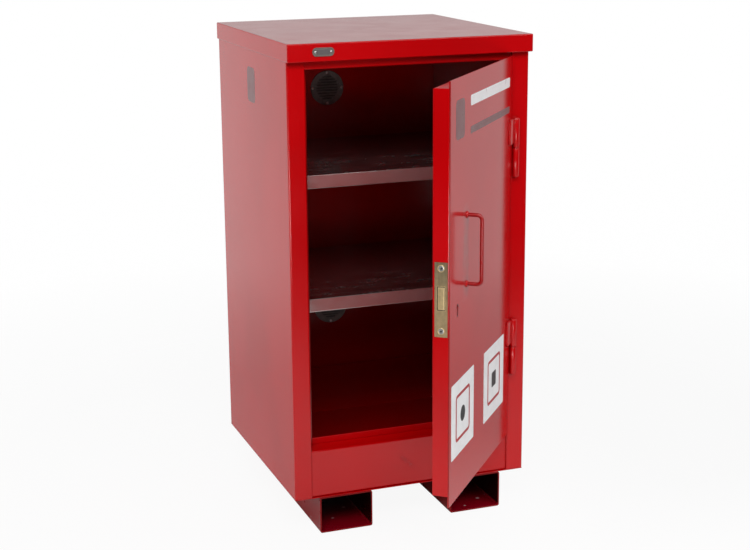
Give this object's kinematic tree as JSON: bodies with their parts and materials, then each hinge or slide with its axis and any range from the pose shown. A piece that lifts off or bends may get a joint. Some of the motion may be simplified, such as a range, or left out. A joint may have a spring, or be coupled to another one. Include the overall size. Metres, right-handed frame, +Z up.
{
  "type": "flammable storage cabinet",
  "caption": "Red steel cabinet for flammable liquids on two fork-pocket skids, with roof cap, sump, shelves and a lockable hinged door.",
  "frame": {"origin": "on the floor under the middle of the whole object's box at rest, with the door half open: mid-width of the cabinet, 0.159 m in front of the middle of its roof", "axes": "+Z up, the cabinet's front and door face -Y, +X to the right as seen from the front, the hinge side"},
  "size_m": [0.5, 0.8277, 0.98],
  "materials": {
    "red_paint": "semi-gloss red powder coat",
    "galvanised_steel": "dull galvanised sheet with faint spangle",
    "dark_vent": "dull dark grey",
    "brass": "dull brass with light scratches",
    "zinc_plated": "bright zinc plate",
    "bare_plate": "satin plate with a dark centre",
    "white_label": "white vinyl with a thin red border and a plain dark mark"
  },
  "bodies": {
    "cabinet": {"roof_cap": "red_paint", "left_side_panel": "red_paint", "right_side_panel": "red_paint", "back_panel": "red_paint", "header_rail": "red_paint", "bund_panel": "red_paint", "floor_panel": "red_paint", "sump_tray": "red_paint", "left_skid": "red_paint", "right_skid": "red_paint", "lower_shelf": "galvanised_steel", "upper_shelf": "galvanised_steel", "lower_bracket_left": "red_paint", "lower_bracket_right": "red_paint", "upper_bracket_left": "red_paint", "upper_bracket_right": "red_paint", "vent_grille_lower": "dark_vent", "vent_grille_upper": "dark_vent", "vent_cover_lower": "zinc_plated", "vent_cover_upper": "zinc_plated", "vent_rivet_lower_1": "zinc_plated", "vent_rivet_lower_2": "zinc_plated", "vent_rivet_lower_3": "zinc_plated", "vent_rivet_lower_4": "zinc_plated", "vent_rivet_upper_1": "zinc_plated", "vent_rivet_upper_2": "zinc_plated", "vent_rivet_upper_3": "zinc_plated", "vent_rivet_upper_4": "zinc_plated", "nameplate": "bare_plate", "plate_rivet_left": "zinc_plated", "plate_rivet_right": "zinc_plated", "hinge_frame_leaf_lower": "red_paint", "hinge_frame_leaf_upper": "red_paint", "hinge_pin_lower": "zinc_plated", "hinge_pin_upper": "zinc_plated", "hinge_washer_lower": "red_paint", "hinge_washer_upper": "red_paint", "strike_plate": "zinc_plated", "strike_screw_lower": "zinc_plated", "strike_screw_upper": "zinc_plated"},
    "door": {"door_skin": "red_paint", "door_inner_pan": "red_paint", "door_stiffener": "red_paint", "door_handle": "red_paint", "hinge_door_leaf_lower": "red_paint", "hinge_door_leaf_upper": "red_paint", "lock_case": "zinc_plated", "lock_forend": "brass", "forend_screw_lower": "zinc_plated", "forend_screw_upper": "zinc_plated", "label_left": "white_label", "label_right": "white_label"},
    "deadbolt": {"deadbolt": "brass"}
  },
  "joints": [
    {"name": "door_swing", "type": "hinge", "parent": "cabinet", "child": "door", "pos_m": [0.219, -0.089, 0], "axis": [0, 0, 1], "range_deg": [-50, 120]},
    {"name": "deadbolt_throw", "type": "slide", "parent": "door", "child": "deadbolt", "axis": [-0.6428, -0.766, 0], "range_m": [0, 0.02]}
  ]
}
